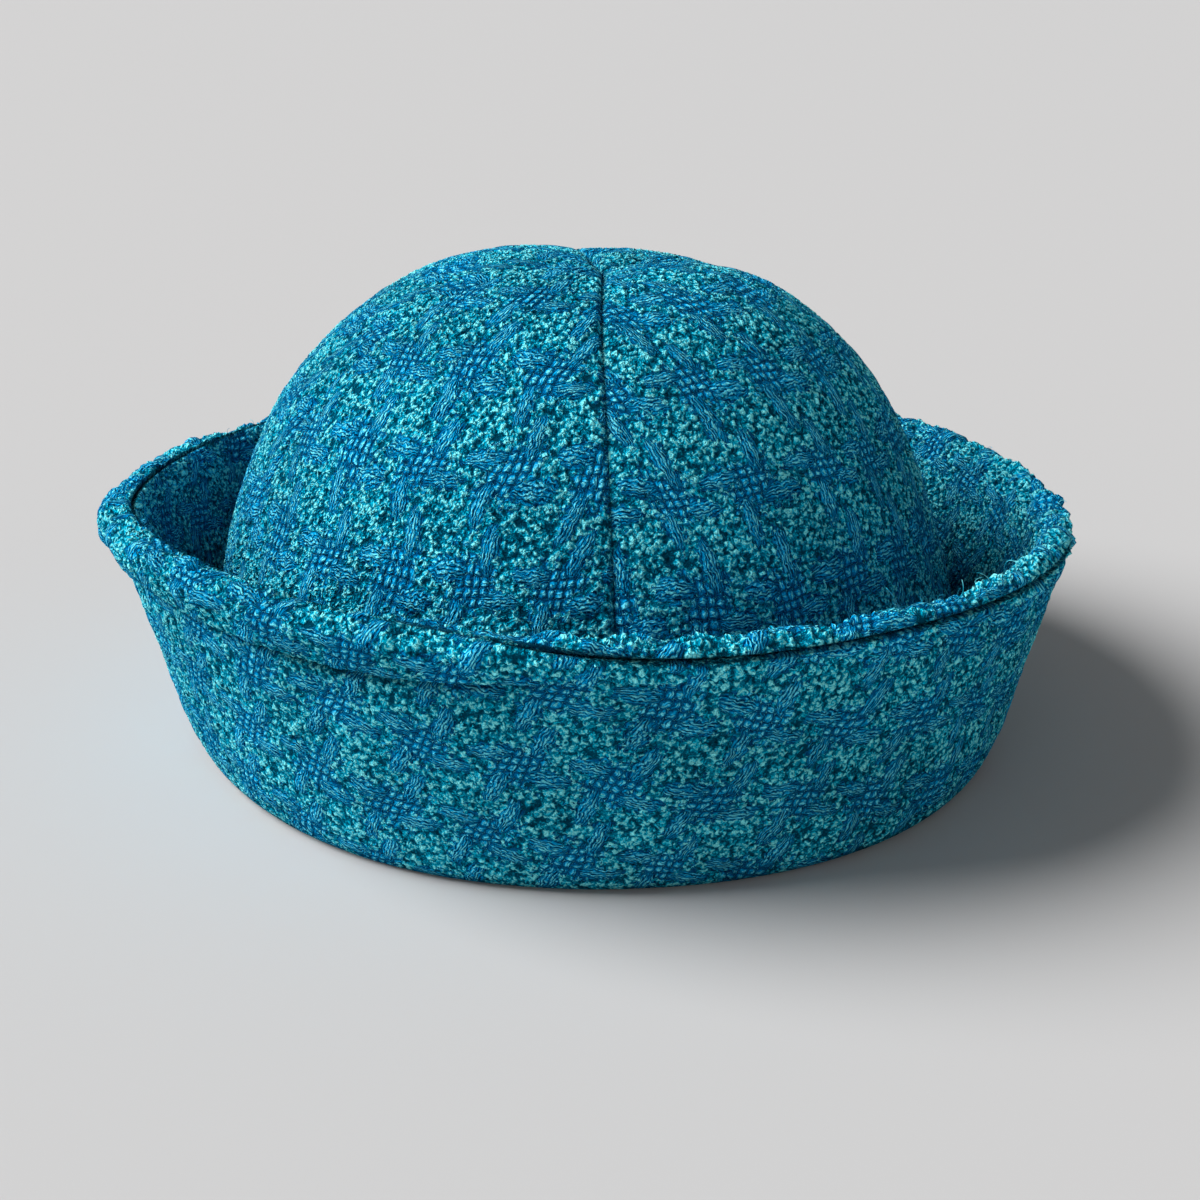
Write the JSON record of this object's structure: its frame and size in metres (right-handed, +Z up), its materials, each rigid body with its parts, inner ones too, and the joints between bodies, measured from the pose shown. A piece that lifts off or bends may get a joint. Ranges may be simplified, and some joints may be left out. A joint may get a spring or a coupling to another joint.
{
  "type": "sailor hat",
  "caption": "Sailor hat of nubby woven cloth: a domed crown of sewn gores inside a deep, flaring turned-up brim with a rolled edge.",
  "frame": {"origin": "on the surface that the hat stands on, under the middle of its outline", "axes": "+Z up, from the fold of the brim to the top of the crown; the crown's front seam faces -Y; +X is to the right seen from the front"},
  "size_m": [0.2346, 0.2354, 0.1157],
  "materials": {
    "crown_cloth": "turquoise and blue boucle weave, matt and nubby",
    "brim_cloth": "turquoise and blue boucle weave, matt and nubby"
  },
  "bodies": {
    "root": {"crown_gore_front_right": "crown_cloth", "crown_gore_back_right": "crown_cloth", "crown_gore_back_left": "crown_cloth", "crown_gore_front_left": "crown_cloth", "brim_outer": "brim_cloth", "brim_inner": "brim_cloth"}
  },
  "joints": []
}
